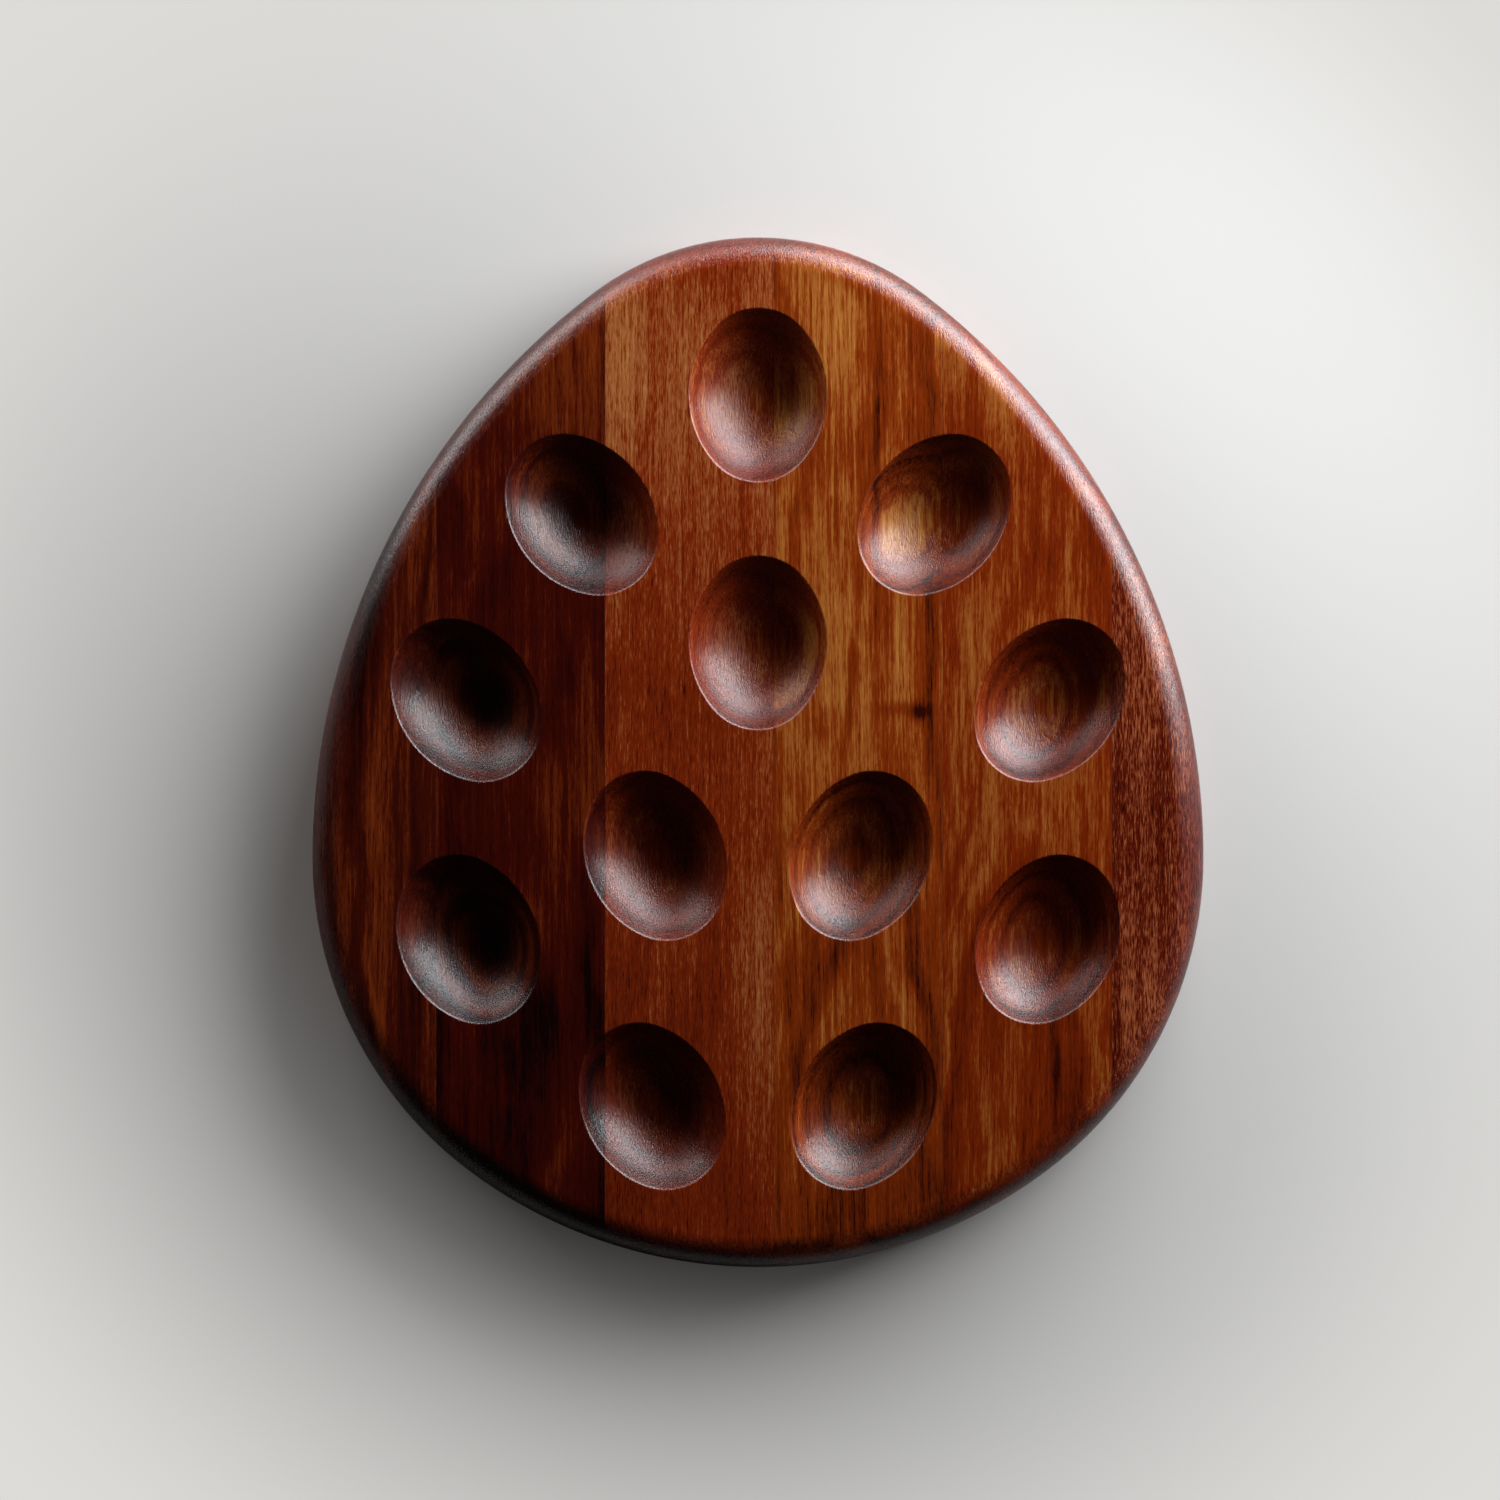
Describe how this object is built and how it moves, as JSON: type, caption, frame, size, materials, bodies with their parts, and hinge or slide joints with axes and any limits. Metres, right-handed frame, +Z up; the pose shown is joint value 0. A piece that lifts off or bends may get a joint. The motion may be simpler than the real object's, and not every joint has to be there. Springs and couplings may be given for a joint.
{
  "type": "deviled egg platter",
  "caption": "Egg-shaped walnut serving platter, edge-glued from staves, with oval cups in its top face that hold halved eggs, and a rounded-over edge.",
  "frame": {"origin": "underside of the board, in the middle of its length and width", "axes": "+Z up out of the cups, +Y towards the pointed end, +X to the right seen from above with the pointed end away"},
  "size_m": [0.2694, 0.3112, 0.0222],
  "materials": {
    "walnut_left_edge": "oiled, satin, grain along the board",
    "walnut_left": "oiled, satin, grain along the board",
    "walnut_left_middle": "oiled, satin, grain along the board",
    "walnut_right_middle": "oiled, satin, grain along the board",
    "walnut_right": "oiled, satin, grain along the board",
    "walnut_right_edge": "oiled, satin, grain along the board",
    "wood_glue": "cured wood glue, sanded flush"
  },
  "bodies": {
    "root": {"left_edge_stave": "walnut_left_edge", "left_stave": "walnut_left", "left_middle_stave": "walnut_left_middle", "right_middle_stave": "walnut_right_middle", "right_stave": "walnut_right", "right_edge_stave": "walnut_right_edge", "left_edge_glue_line": "wood_glue", "left_glue_line": "wood_glue", "middle_glue_line": "wood_glue", "right_glue_line": "wood_glue", "right_edge_glue_line": "wood_glue"}
  },
  "joints": []
}
